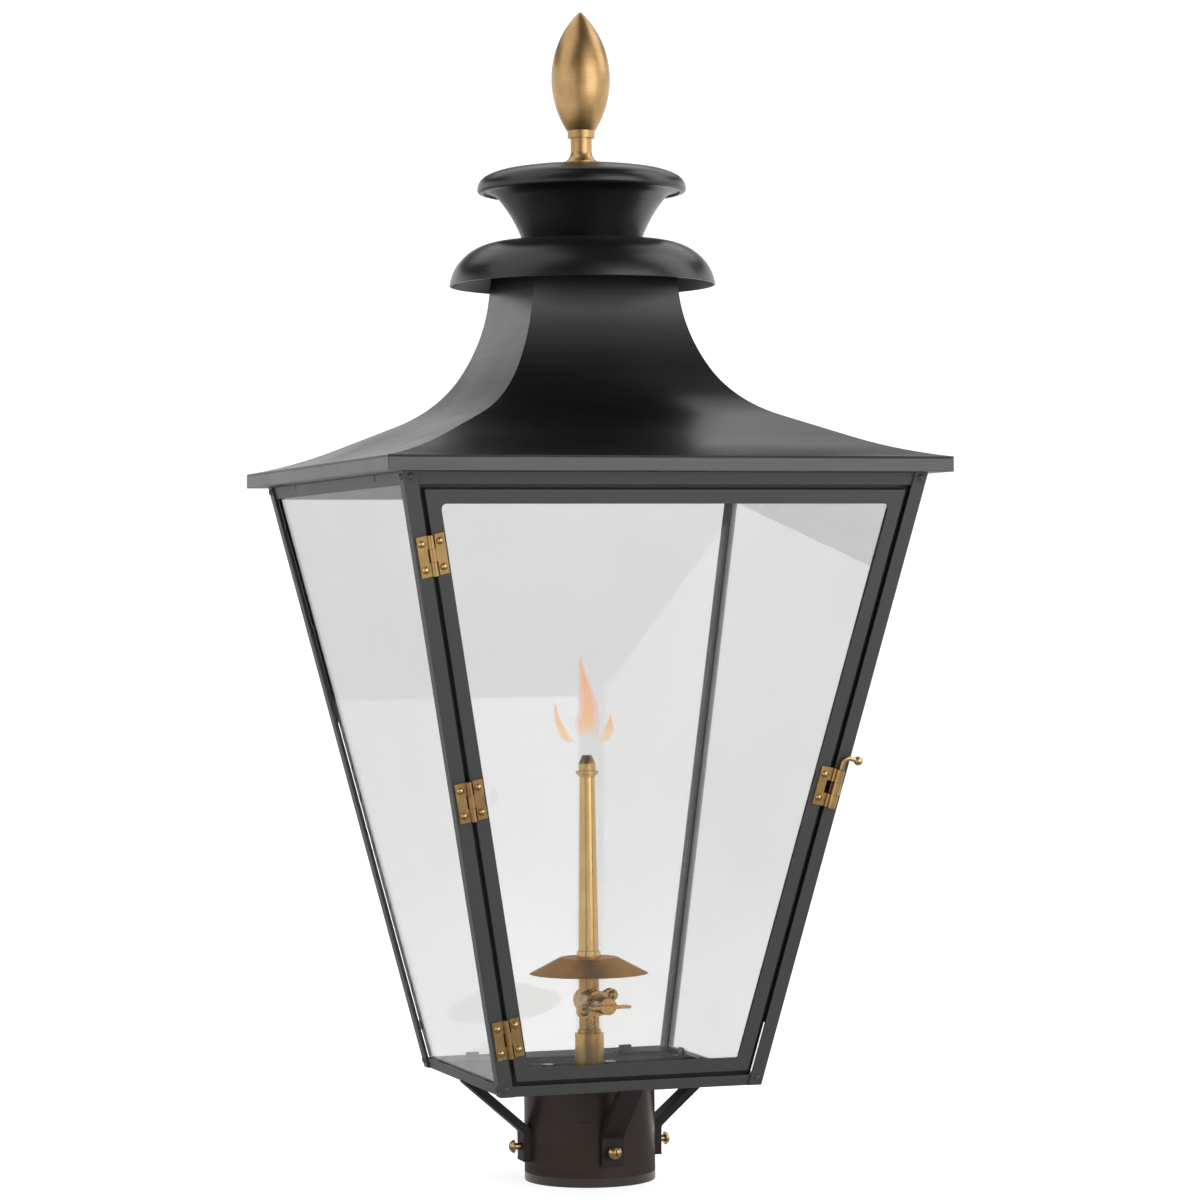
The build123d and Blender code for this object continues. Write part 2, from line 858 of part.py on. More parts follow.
def latch_pin():
    """A pin that drops through the knuckles, bent over at the top and ending in a ball."""
    low = -latch_length / 2 - latch_pin_tail
    high = latch_length / 2 + latch_pin_rise
    route = [(high - low,), (latch_pin_bend_radius, -latch_pin_bend_turn), (latch_pin_arm,)]
    edges, ball = walk((latch_axis_x, low), 90, route)
    level_plane = Plane(origin=(0, 0, latch_axis_height))
    path = level_plane * (Curve() + edges)
    start = Plane(origin=(latch_axis_x, low, latch_axis_height), z_dir=(0, 1, 0))
    pin = sweep(start * Circle(latch_pin_radius), path=path)
    pin += Pos(ball[0], ball[1], latch_axis_height) * Sphere(latch_ball_radius)
    return latch_place() * pin


# ---- Roof


roof_start = (eave_half, body_top + eave_height)
roof_heading = 180 - roof_eave_slope
roof_low_moves = [(roof_eave_radius, -roof_eave_turn)]
roof_high_moves = [
    (roof_knee_radius, -roof_knee_turn),
    (roof_neck_radius, -roof_neck_turn),
    (roof_neck_run,),
]
# a straight run between the bends makes up the distance from the eave to the neck
bends_end = walk(roof_start, roof_heading, roof_low_moves + roof_high_moves, roof_sheet)[1]
roof_straight = (bends_end[0] - roof_neck_half) / cos(radians(roof_eave_slope + roof_eave_turn))
roof_moves = roof_low_moves + [(roof_straight,)] + roof_high_moves
neck_end = walk(roof_start, roof_heading, roof_moves, roof_sheet)[1]
hood_top = neck_end[1] + hood_rise
hood_flat_radius = roof_neck_half + hood_overlap


def roof_panel():
    return mitred(across(sheet_section(roof_start, roof_heading, roof_moves, roof_sheet), far))


def eave_frame():
    """A level soffit that rests on the legs and rails, with an upright band under the roof's edge."""
    underside = body_top + eave_height - roof_sheet / cos(radians(roof_eave_slope))
    frame = between(body_top, underside, 2 * eave_half, 2 * eave_half)
    inside = 2 * (eave_half - roof_sheet)
    opening = 2 * (body_top_half - soffit_lap)
    frame -= between(body_top + roof_sheet, underside + cut_over, inside, inside)
    return frame - between(body_top - cut_over, underside + cut_over, opening, opening)


def vent_bridge():
    """A strap across the roof's neck that carries the hood and the finial's bolt."""
    top = hood_top - spun_sheet
    half = neck_end[0] - bridge_clearance
    rise = bridge_leg - bridge_bend_radius
    span = 2 * (half - bridge_bend_radius)
    moves = [(rise,), (bridge_bend_radius, 90), (span,), (bridge_bend_radius, 90), (rise,)]
    section = sheet_section((half, top - bridge_leg), 90, moves, bridge_sheet)
    hole = upright(rod_radius + rod_clearance, top - bridge_leg, top + cut_over)
    return across(section, bridge_width) - hole


def hood():
    moves = [
        (hood_flat_radius - rod_radius - rod_clearance,),
        (hood_shoulder_radius, -hood_shoulder_turn),
        (hood_rim_radius, -hood_rim_turn),
    ]
    return turned(sheet_section((rod_radius + rod_clearance, hood_top), 0, moves, -spun_sheet))


cap_moves = [
    (cap_dome_radius, -cap_dome_turn),
    (cap_shoulder_radius, -cap_shoulder_turn),
    (cap_edge_radius, -cap_edge_turn),
    (cap_curl_radius, -cap_curl_turn),
]
flare_moves = [(flare_long_radius, -flare_long_turn), (flare_lip_radius, -flare_lip_turn)]
# the curled rim of the cap grips the lip of the flared neck, which sets the height of the cap
curl_seat = walk((0, 0), 0, cap_moves, -spun_sheet)[1]
lip_start = walk((flare_foot_radius, hood_top), flare_foot_slope, flare_moves)[1]
cap_top = lip_start[1] - curl_seat[1]


def cap():
    shell = turned(sheet_section((0, cap_top), 0, cap_moves + [(cap_curl_run,)], -spun_sheet))
    return shell - upright(rod_radius + rod_clearance, hood_top, cap_top + cut_over)


def flared_neck():
    """The trumpet between hood and cap, with a flat foot and a flat lip inside the cap's rim."""
    moves = flare_moves + [(curl_seat[0] - flare_lip_clearance - lip_start[0],)]
    shell = turned(sheet_section((flare_foot_radius, hood_top), flare_foot_slope, moves, spun_sheet))
    foot = upright(flare_foot_radius, hood_top, hood_top + spun_sheet)
    foot -= upright(flare_foot_radius - flare_foot_width, hood_top - cut_over, hood_top + 2 * spun_sheet)
    return shell + foot - between(hood_top - 2 * spun_sheet, hood_top)


def finial_bolt():
    """The long bolt under the bridge that draws the finial down on cap, neck and hood."""
    seat = hood_top - spun_sheet - bridge_sheet
    outline = RegularPolygon(rod_head_across_flats / 2, 6, major_radius=False)
    head = Pos(0, 0, seat) * extrude(outline, amount=-rod_head_height)
    return head + upright(rod_radius, seat, seat + rod_length)


def finial():
    base = cap_top
    bud = base + finial_bud_rise
    tip = base + finial_height
    neck_low = (finial_neck_radius, base + finial_neck_start)
    foot_high = (finial_foot_radius, base + finial_foot_height)
    neck_high = (finial_neck_radius, base + finial_neck_end)
    ring_high = (finial_ring_radius, base + finial_ring_end)
    bud_low = (finial_bud_foot_radius, base + finial_ring_end)
    widest = (finial_bud_radius, bud)
    outline = [
        Line((0, base), (finial_foot_radius, base)),
        Line((finial_foot_radius, base), foot_high),
        TangentArc(neck_low, foot_high, tangent=(0, -1)),
        Polyline(neck_low, neck_high, (finial_ring_radius, neck_high[1]), ring_high, bud_low),
        TangentArc(widest, bud_low, tangent=(0, -1)),
        TangentArc(widest, (finial_tip_radius, tip), tangent=(0, 1)),
        Line((finial_tip_radius, tip), (0, tip)),
        Line((0, tip), (0, base)),
    ]
    body = turned(make_face(Curve() + outline))
    return body - upright(rod_radius + running_clearance, base - cut_over, base + finial_bore_depth)


# ---- Burner


inlet_bottom = floor_bottom - collar_flange
inlet_top = floor_top + inlet_height


def inlet_coupling():
    coupling = upright(inlet_radius, floor_top, inlet_top)
    coupling += upright(inlet_spigot_radius, inlet_bottom, floor_top)
    coupling -= upright(inlet_thread_radius, inlet_bottom - cut_over, inlet_bottom + inlet_thread_length)
    return coupling - upright(gas_bore_radius, inlet_bottom, inlet_top + cut_over)


def inlet_nut():
    """The nut under the floor that clamps the coupling."""
    outline = RegularPolygon(inlet_nut_across_flats / 2, 6, major_radius=False)
    nut = Pos(0, 0, floor_bottom) * extrude(outline, amount=-inlet_nut_height)
    return nut - upright(inlet_spigot_radius + running_clearance, 0, body_top)


def cover_outline():
    """The tilted cover: a round middle with an ear for each screw."""
    ears = SlotCenterToCenter(2 * valve_screw_half_pitch, 2 * valve_ear_radius)
    return (ears + Circle(valve_barrel_radius)).rotate(Axis.Z, valve_cover_turn)


def valve_plane(distance):
    """A plane square to the valve's barrel, at a distance in front of the lantern's axis."""
    return Plane(origin=(0, -distance, valve_height), x_dir=(1, 0, 0), z_dir=(0, -1, 0))


def valve_screw_places(distance):
    turn = radians(valve_cover_turn)
    x, y = valve_screw_half_pitch * cos(turn), valve_screw_half_pitch * sin(turn)
    return [valve_plane(distance) * Plane(origin=(side * x, side * y, 0)) for side in (-1, 1)]


def valve_body():
    seat = dish_top - dish_sheet
    body = upright(valve_bead_radius, inlet_top, inlet_top + valve_bead_height)
    body += upright(valve_neck_radius, inlet_top, seat)
    body += upright(dish_seat_radius, seat - dish_seat_sheet, seat)
    body += upright(stub_radius, seat, dish_top + stub_length)
    barrel = valve_plane(-valve_barrel_back) * extrude(
        Circle(valve_barrel_radius), amount=valve_barrel_back + valve_face_front
    )
    ears = extrude(cover_outline(), amount=valve_ear_sheet)
    body = body + barrel + valve_plane(valve_face_front - valve_ear_sheet) * ears
    body -= upright(gas_bore_radius, inlet_top - cut_over, dish_top + stub_length + cut_over)
    for place in valve_screw_places(valve_face_front):
        body -= place * extrude(Circle(valve_screw_radius + running_clearance), amount=-far)
    bore = spindle_radius + running_clearance
    return body - valve_plane(0) * extrude(Circle(bore), amount=2 * valve_face_front)


def valve_bonnet():
    """The cover plate with the round housing that the key turns in."""
    plate = extrude(cover_outline(), amount=valve_cover_sheet)
    housing = extrude(Circle(bonnet_radius), amount=valve_cover_sheet + bonnet_length)
    bonnet = valve_plane(valve_face_front) * (plate + housing)
    for place in valve_screw_places(valve_face_front):
        bonnet -= place * Cylinder(valve_screw_radius + running_clearance, far)
    bore = spindle_radius + running_clearance
    return bonnet - valve_plane(0) * extrude(Circle(bore), amount=far)


def valve_screws():
    screws = []
    for place in valve_screw_places(valve_face_front + valve_cover_sheet):
        head = dome(valve_screw_head_radius, valve_screw_head_height)
        slot = Pos(0, 0, valve_screw_head_height) * Box(far, valve_screw_slot_width, screw_slot_depth)
        length = valve_cover_sheet + valve_ear_sheet
        shank = Cylinder(valve_screw_radius, length, align=(Align.CENTER, Align.CENTER, Align.MAX))
        screws.append(place * (head - slot.rotate(Axis.Z, 45) + shank))
    return screws


def valve_key():
    """The part that turns: spindle, end disc and a flat wing to grip."""
    disc_back = valve_face_front + valve_cover_sheet + bonnet_length + key_gap
    spindle = valve_plane(key_gap) * extrude(Circle(spindle_radius), amount=disc_back - key_gap)
    disc = valve_plane(disc_back) * extrude(Circle(key_disc_radius), amount=key_disc_sheet)
    outline = RectangleRounded(key_wing_length, key_wing_sheet, key_wing_rounding)
    wing = valve_plane(disc_back + key_disc_sheet) * extrude(outline, amount=key_wing_depth)
    return spindle + disc + wing


def burner_dish():
    rim = dish_top - dish_drop
    run = hypot(dish_rim_radius - dish_flat_radius, dish_drop)
    slope = degrees(atan2(dish_drop, dish_rim_radius - dish_flat_radius))
    start = stub_radius + stub_clearance
    moves = [(dish_flat_radius - start,), (dish_bend_radius, -slope), (run,)]
    shell = turned(sheet_section((start, dish_top), 0, moves, -dish_sheet))
    return shell & between(rim, dish_top)


def burner_tube():
    foot_top = dish_top + tube_foot_height
    on_floor = (Align.CENTER, Align.CENTER, Align.MIN)
    taper = Cone(tube_bottom_radius, tube_top_radius, tube_top - foot_top, align=on_floor)
    tube = upright(tube_foot_radius, dish_top, foot_top) + Pos(0, 0, foot_top) * taper
    tube -= upright(stub_radius + stub_clearance, dish_top, dish_top + stub_length + stub_clearance)
    return tube - upright(tube_bore_radius, dish_top, tube_top + cut_over)


def burner_tip():
    heights = [tip_step_height, tip_ring_height, tip_barrel_height, tip_cone_height]
    levels = [tube_top]
    for height in heights:
        levels.append(levels[-1] + height)
    tip = upright(tip_step_radius, levels[0], levels[1])
    tip += upright(tip_ring_radius, levels[1], levels[2])
    tip += upright(tip_barrel_radius, levels[2], levels[3])
    on_floor = (Align.CENTER, Align.CENTER, Align.MIN)
    cone = Cone(tip_barrel_radius, tip_top_radius, tip_cone_height, align=on_floor)
    tip += Pos(0, 0, levels[3]) * cone
    shoulder = tip.edges().filter_by(GeomType.CIRCLE).group_by(Axis.Z)[-2]
    tip = fillet(shoulder, tip_edge_rounding)
    tip += upright(tube_bore_radius - running_clearance, tube_top - tip_socket_depth, tube_top)
    tip -= upright(tip_jet_radius, tube_top - tip_socket_depth - cut_over, levels[3])
    for turn in (0, 90):
        slot = Pos(0, 0, levels[4]) * Box(far, tip_slot_width, tip_slot_depth).rotate(Axis.Z, turn)
        tip -= slot
    return tip


# ---- Write every piece

os.makedirs("parts", exist_ok=True)

save("post_collar", post_collar())
save("collar_bolts", *collar_bolts())
save("base_plate", floor_plate())
arm, screw = support_arm(), post_screw()
for index, side in enumerate(side_names):
    save(f"support_arm_{side}", on_side(arm, index))
    save(f"post_screw_{side}", on_side(screw, index))

low_rail = without_frame_rivets(bottom_rail())
high_rail = without_frame_rivets(top_rail())
for index, side in enumerate(side_names):
    save(f"bottom_rail_{side}", on_side(low_rail, index))
    save(f"top_rail_{side}", on_side(high_rail if side == "front" else notched(high_rail), index))

leg = without_frame_rivets(corner_leg())
corner_names = ["front_left", "front_right", "back_right", "back_left"]
legs = {name: on_side(leg, index) for index, name in enumerate(corner_names)}
for place in hinge_places():
    for spot in brass_rivet_spots("leg", place):
        legs["front_left"] -= spot * rivet_hole(hinge_leaf_sheet + leg_sheet + cut_over)
for name, piece in legs.items():
    save(f"corner_leg_{name}", piece)
save("frame_rivets", *frame_rivets())

glass = pane()
for index, side in enumerate(side_names[:3]):
    save(f"glass_{side}", on_side(glass, index))
save("glass_tabs", *[on_side(tab, index) for index in range(3) for tab in pane_tabs()])

save("door_stop", door_stop())
save("door_frame", door_frame())
save("door_glass", door_glass())
save("door_tabs", *door_tabs())
save("hinge_frame_leaves", *hinge_leaves("leg"))
save("hinge_door_leaves", *hinge_leaves("door"))
save("hinge_pins", *hinge_pins())
save("brass_rivets_leg", *brass_rivets("leg"))
save("brass_rivets_door", *brass_rivets("door"))
save("latch_leaf", latch_leaf())
save("latch_keeper", latch_keeper())
save("latch_pin", latch_pin())

panel = roof_panel()
for index, side in enumerate(side_names):
    save(f"roof_panel_{side}", on_side(panel, index))
save("eave_frame", eave_frame())
save("vent_bridge", vent_bridge())
save("vent_hood", hood())
save("flared_neck", flared_neck())
save("top_cap", cap())
save("finial_bolt", finial_bolt())
save("finial", finial())

save("inlet_coupling", inlet_coupling())
save("inlet_nut", inlet_nut())
save("valve_body", valve_body())
save("valve_bonnet", valve_bonnet())
save("valve_screws", *valve_screws())
save("valve_key", valve_key())
save("burner_dish", burner_dish())
save("burner_tube", burner_tube())
save("burner_tip", burner_tip())
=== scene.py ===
import json
import math
import bpy
import bmesh
from mathutils import Matrix, Vector


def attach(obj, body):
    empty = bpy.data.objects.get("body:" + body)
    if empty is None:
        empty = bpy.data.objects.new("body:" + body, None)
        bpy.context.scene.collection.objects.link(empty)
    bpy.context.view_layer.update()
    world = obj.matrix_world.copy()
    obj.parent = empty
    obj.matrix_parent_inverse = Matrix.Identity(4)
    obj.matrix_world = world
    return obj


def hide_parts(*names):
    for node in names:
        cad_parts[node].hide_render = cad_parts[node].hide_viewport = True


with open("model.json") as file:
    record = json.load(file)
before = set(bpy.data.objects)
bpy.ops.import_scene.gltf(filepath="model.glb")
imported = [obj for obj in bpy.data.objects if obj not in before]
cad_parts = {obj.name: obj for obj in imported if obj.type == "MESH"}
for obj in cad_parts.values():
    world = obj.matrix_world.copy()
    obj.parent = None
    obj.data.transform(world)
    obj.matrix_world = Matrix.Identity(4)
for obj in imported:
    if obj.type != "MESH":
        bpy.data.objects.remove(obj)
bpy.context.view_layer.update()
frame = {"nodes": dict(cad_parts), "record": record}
nodes = frame["nodes"]
bodies = frame["record"]["behaviour"]["bodies"]
bodyOf = {node: body for body, members in bodies.items() for node in members}
sides = ("front", "back", "left", "right")
cornerLegs = [name for name in nodes if name.startswith("corner_leg")]
mm = 0.001  # a millimetre, in metres
print("frame loaded:", len(nodes), "nodes")

# The focal length is in pixels of the photograph's frame. The camera's place is in millimetres from the
# foot of the post collar, its angles are radians, and near and far are metres.
camera = {"focalPx": 3805.4, "framePx": 1200.0, "sensor": 36.0, "near": 0.05, "far": 60.0,
          "distance": 2593.8, "aside": 10.16, "height": 395.78,
          "yaw": 0.323, "pitch": -0.0007, "roll": -0.0086}


def placeCamera(look=camera):
    # gives back the level directions across and along the view, which the flame and the lights use
    ahead = Vector((math.sin(look["yaw"]), math.cos(look["yaw"]), 0))
    aside = Vector((math.cos(look["yaw"]), -math.sin(look["yaw"]), 0))
    up = Vector((0, 0, 1))
    place = -ahead * look["distance"] + aside * look["aside"] + up * look["height"]
    forward = ahead * math.cos(look["pitch"]) + up * math.sin(look["pitch"])
    level = up * math.cos(look["pitch"]) - ahead * math.sin(look["pitch"])
    right = aside * math.cos(look["roll"]) + level * math.sin(look["roll"])
    top = level * math.cos(look["roll"]) - aside * math.sin(look["roll"])
    data = bpy.data.cameras.new("photoCamera")
    data.sensor_width = look["sensor"]
    data.lens = look["focalPx"] * look["sensor"] / look["framePx"]
    data.clip_start = look["near"]
    data.clip_end = look["far"]
    obj = bpy.data.objects.new("photoCamera", data)
    turn = Matrix((right, top, -forward)).transposed().to_4x4()
    obj.matrix_world = Matrix.Translation(place * mm) @ turn
    bpy.context.scene.collection.objects.link(obj)
    bpy.context.scene.camera = obj
    return aside, ahead


asideOfCamera, aheadOfCamera = placeCamera()
print("camera placed")


def linear(hexText):
    # sRGB hex to a linear colour with alpha, by the numbers of the sRGB standard
    parts = [int(hexText[i:i + 2], 16) / 255 for i in (1, 3, 5)]
    return tuple(p / 12.92 if p <= 0.04045 else ((p + 0.055) / 1.055) ** 2.4 for p in parts) + (1.0,)


def setInputs(tree, node, inputs):
    # an input that is another node's socket is linked, and any other is the socket's value
    for name, value in inputs.items():
        if isinstance(value, bpy.types.NodeSocket):
            tree.links.new(value, node.inputs[name])
        else:
            node.inputs[name].default_value = value


def addNode(tree, kind, inputs=None, **settings):
    node = tree.nodes.new(kind)
    for name, value in settings.items():
        setattr(node, name, value)
    setInputs(tree, node, inputs or {})
    return node


# A colour Mix node's sockets go by number, because its other sockets have the same names.
mixFactor, mixFirst, mixSecond, mixResult = 0, 6, 7, 2


def newMaterial(name):
    material = bpy.data.materials.new(name)
    material.use_nodes = True
    tree = material.node_tree
    return material, tree, tree.nodes["Principled BSDF"]


def stretchedNoise(tree, place, axis, along, across, **inputs):
    # noise with one size along an axis and another across it, in millimetres
    scale = [1000 / across] * 3
    scale["XYZ".index(axis)] = 1000 / along
    drawnOut = addNode(tree, "ShaderNodeMapping", {"Vector": place, "Scale": scale}).outputs["Vector"]
    return addNode(tree, "ShaderNodeTexNoise", {"Vector": drawnOut, "Scale": 1.0, **inputs}).outputs["Fac"]


def meshObject(name, work, material):
    # a bmesh becomes a smooth object with one material
    mesh = bpy.data.meshes.new(name)
    work.to_mesh(mesh)
    work.free()
    for polygon in mesh.polygons:
        polygon.use_smooth = True
    mesh.materials.append(material)
    obj = bpy.data.objects.new(name, mesh)
    bpy.context.scene.collection.objects.link(obj)
    return obj


# Lengths in the paints and metals are millimetres. A streak is streakAlong long on the paint's axis and
# streakAcross wide. Where streakAcross is the longer, the streaks run round that axis.
paint = {"dark": "#343434", "light": "#404040", "shine": 0.5, "ior": 1.5,
         "roughLow": 0.34, "roughHigh": 0.44, "unevenLow": 0.7, "unevenHigh": 1.3,
         "streakAlong": 90.0, "streakAcross": 0.7, "cloudSize": 60.0,
         "peelSize": 1.1, "peelHeight": 0.012, "peelStrength": 0.35}
roofBlack = {"dark": "#0b0b0b", "light": "#111111", "roughLow": 0.27, "roughHigh": 0.35}

paints = {
    # Satin lacquer on the brushed sheet of the frame: a soft charcoal black with faint streaks.
    "satinBlackPaint": {"axes": "XYZ"},
    # The eave's sheet shows its brushing most, as pale streaks along its front and back. They are drawn
    # coarser than the real ones, so that they show.
    "brushedBlackEave": {"axes": "X", "dark": "#2a2a2a", "light": "#545454", "streakAcross": 1.6},
    # The roof's lacquer is nearly black and glossier, so its highlights are narrower and its shadows deep.
    "roofBlackPaint": {**roofBlack, "axes": "XY", "streakAlong": 140.0},
    # Spun sheet under the same lacquer: the fine lines run round the hood, the neck and the cap.
    "spunBlackPaint": {**roofBlack, "axes": "Z", "streakAlong": 0.7, "streakAcross": 90.0},
    # Dark bronze paint on the collar's tube: a warm brown black, with fine lines round it.
    "darkBronzeCollar": {"axes": "Z", "dark": "#251c17", "light": "#32271f", "shine": 0.42,
                         "roughLow": 0.27, "roughHigh": 0.37, "streakAlong": 0.8, "streakAcross": 70.0},
    # The same paint on the bent bars is darker and duller, so the arms read as almost black. The
    # darker colour is painted shade, standing for the shaded floor under the lantern that the bars face.
    "darkBronzeArm": {"axes": "Z", "dark": "#1a1413", "light": "#241c1a", "shine": 0.3,
                      "roughLow": 0.42, "roughHigh": 0.54},
    # The floor's lacquer is matt, so it stays an even dark grey under the burner.
    "floorPaint": {"axes": "X", "dark": "#1c1c1c", "light": "#242424", "roughLow": 0.58, "roughHigh": 0.7},
}


def sprayedPaint(name, axis, look):
    # Paint sprayed on brushed sheet: the brushing shows through as faint long streaks in colour and
    # gloss, and the sprayed film has a fine orange peel.
    material, tree, shader = newMaterial(name)
    place = addNode(tree, "ShaderNodeTexCoord").outputs["Object"]
    streak = stretchedNoise(tree, place, axis, look["streakAlong"], look["streakAcross"],
                            Detail=3.0, Roughness=0.6)
    cloud = addNode(tree, "ShaderNodeTexNoise",
                    {"Vector": place, "Scale": 1000 / look["cloudSize"], "Detail": 2.0}).outputs["Fac"]
    peel = addNode(tree, "ShaderNodeTexNoise",
                   {"Vector": place, "Scale": 1000 / look["peelSize"], "Detail": 1.0}).outputs["Fac"]
    uneven = addNode(tree, "ShaderNodeMath", {0: streak, 1: cloud}, operation="ADD").outputs[0]
    rough = addNode(tree, "ShaderNodeMapRange",
                    {"Value": uneven, "From Min": look["unevenLow"], "From Max": look["unevenHigh"],
                     "To Min": look["roughLow"], "To Max": look["roughHigh"]}).outputs["Result"]
    colour = addNode(tree, "ShaderNodeMix",
                     {mixFactor: streak, mixFirst: linear(look["dark"]), mixSecond: linear(look["light"])},
                     data_type="RGBA").outputs[mixResult]
    bump = addNode(tree, "ShaderNodeBump",
                   {"Height": peel, "Strength": look["peelStrength"],
                    "Distance": look["peelHeight"] * mm}).outputs["Normal"]
    setInputs(tree, shader, {"Base Color": colour, "Roughness": rough, "Normal": bump,
                             "IOR": look["ior"], "Specular IOR Level": look["shine"]})
    return material


# A line is lineSize wide along the axis and lineLength long across it, so on Z the lines run round a part.
# The crevice colour is painted shade: it is laid into the corners and grooves of the metals that ask for
# it.
brass = {"axis": "Z", "lineSize": 0.35, "lineLength": 60.0, "lineLow": 0.3, "lineHigh": 0.7,
         "cloudSize": 12.0, "toneLow": 0.12, "toneHigh": 0.36, "bump": 0.006, "bumpStrength": 0.5,
         "lacquer": 0.3, "lacquerRough": 0.2, "grimy": False, "crevice": "#4a3114", "creviceReach": 1.6,
         "openLow": 0.35, "openHigh": 0.85}

metals = {
    # Turned brass under satin lacquer: pale and calm, with a broad soft highlight.
    "satinBrassFinial": {"base": "#bf9c69", "shade": "#a88558", "roughLow": 0.34, "roughHigh": 0.42,
                         "lineSize": 0.25, "bump": 0.003},
    # Machined and polished brass: the shiniest here, with narrow highlights that run up the tube.
    "machinedBrassBurner": {"base": "#e6c17c", "shade": "#d3a966", "roughLow": 0.14, "roughHigh": 0.2,
                            "bump": 0.002, "lacquer": 0.1, "grimy": True, "creviceReach": 1.2},
    # The burner's tip, dulled by heat: its highlight is spread, and its mouth is stained brown.
    "heatDulledBrassTip": {"base": "#e6c17c", "shade": "#d3a966", "roughLow": 0.34, "roughHigh": 0.48,
                           "grimy": True, "creviceReach": 1.2,
                           "scorchLow": 282.6, "scorchHigh": 284.6, "scorch": "#a3814c"},
    # Spun brass with no lacquer: a deep yellow bowl with a dull, even sheen.
    "spunBrassDish": {"base": "#e6a844", "shade": "#c68c2c", "roughLow": 0.4, "roughHigh": 0.5,
                      "lacquer": 0.0},
    # Machined brass of the coupling and nut: bright yellow, and a little less polished than the tube.
    "machinedBrassCoupling": {"base": "#eabd6a", "shade": "#cfa050", "roughLow": 0.28, "roughHigh": 0.4,
                              "bump": 0.002, "grimy": True, "creviceReach": 1.2},
    # Cast brass: an even pebbled skin in place of lines, which breaks the highlights up.
    "castBrassValve": {"base": "#c29a56", "shade": "#a07840", "roughLow": 0.2, "roughHigh": 0.34,
                       "lineSize": 1.2, "lineLength": 1.2, "bump": 0.02, "lacquer": 0.1, "grimy": True},
    # Rolled brass sheet of the hinges and the latch: short upright lines, and painted shade, dark brown, at
    # the knuckles.
    "rolledBrassHinge": {"base": "#d8b378", "shade": "#b9925a", "roughLow": 0.36, "roughHigh": 0.5,
                         "axis": "X", "lineSize": 0.5, "lineLength": 12.0,
                         "grimy": True, "crevice": "#3a2410", "creviceReach": 2.0},
    # Turned brass screws, pins and rivets: light heads with a ring of painted shade where they meet the
    # part.
    "turnedBrassScrew": {"base": "#e0bc80", "shade": "#c09a62", "roughLow": 0.26, "roughHigh": 0.4,
                         "grimy": True, "creviceReach": 2.0},
    # Zinc-plated steel: a plain mid grey with a cloudy, half-dull shine.
    "zincPlatedSteel": {"base": "#9a9a98", "shade": "#7c7c7a", "roughLow": 0.3, "roughHigh": 0.45},
}


def brushedMetal(name, look):
    # Metal that was turned, rolled or cast: fine lines or grain in colour and gloss, larger cloudy
    # patches, and on the metals that ask for it, painted shade that darkens their corners and grooves.
    material, tree, shader = newMaterial(name)
    place = addNode(tree, "ShaderNodeTexCoord").outputs["Object"]
    line = stretchedNoise(tree, place, look["axis"], look["lineSize"], look["lineLength"],
                          Detail=4.0, Roughness=0.65)
    cloud = addNode(tree, "ShaderNodeTexNoise",
                    {"Vector": place, "Scale": 1000 / look["cloudSize"], "Detail": 3.0}).outputs["Fac"]
    rough = addNode(tree, "ShaderNodeMapRange",
                    {"Value": line, "From Min": look["lineLow"], "From Max": look["lineHigh"],
                     "To Min": look["roughLow"], "To Max": look["roughHigh"]}).outputs["Result"]
    uneven = addNode(tree, "ShaderNodeMath", {0: line, 1: cloud}, operation="MULTIPLY").outputs[0]
    tone = addNode(tree, "ShaderNodeMapRange",
                   {"Value": uneven, "From Min": look["toneLow"],
                    "From Max": look["toneHigh"]}).outputs["Result"]
    colour = addNode(tree, "ShaderNodeMix",
                     {mixFactor: tone, mixFirst: linear(look["shade"]), mixSecond: linear(look["base"])},
                     data_type="RGBA").outputs[mixResult]
    # painted shade: where ambient occlusion finds a corner or groove, the colour darkens towards the
    # crevice colour
    if look["grimy"]:
        hollow = addNode(tree, "ShaderNodeAmbientOcclusion", {"Distance": look["creviceReach"] * mm},
                         samples=6).outputs["AO"]
        unshaded = addNode(tree, "ShaderNodeMapRange",
                        {"Value": hollow, "From Min": look["openLow"],
                         "From Max": look["openHigh"]}).outputs["Result"]
        colour = addNode(tree, "ShaderNodeMix",
                         {mixFactor: unshaded, mixFirst: linear(look["crevice"]), mixSecond: colour},
                         data_type="RGBA").outputs[mixResult]
    if "scorch" in look:
        # the flame leaves a brown heat tint, strongest at the top
        up = addNode(tree, "ShaderNodeSeparateXYZ", {"Vector": place}).outputs["Z"]
        heat = addNode(tree, "ShaderNodeMapRange",
                       {"Value": up, "From Min": look["scorchLow"] * mm,
                        "From Max": look["scorchHigh"] * mm}).outputs["Result"]
        colour = addNode(tree, "ShaderNodeMix",
                         {mixFactor: heat, mixFirst: colour, mixSecond: linear(look["scorch"])},
                         data_type="RGBA").outputs[mixResult]
    bump = addNode(tree, "ShaderNodeBump",
                   {"Height": line, "Strength": look["bumpStrength"],
                    "Distance": look["bump"] * mm}).outputs["Normal"]
    setInputs(tree, shader, {"Base Color": colour, "Roughness": rough, "Normal": bump, "Metallic": 1.0,
                             "Coat Weight": look["lacquer"], "Coat Roughness": look["lacquerRough"]})
    return material


glass = {"tint": "#ededed", "film": "#e7e7e7", "filmSize": 90.0, "ior": 1.5}


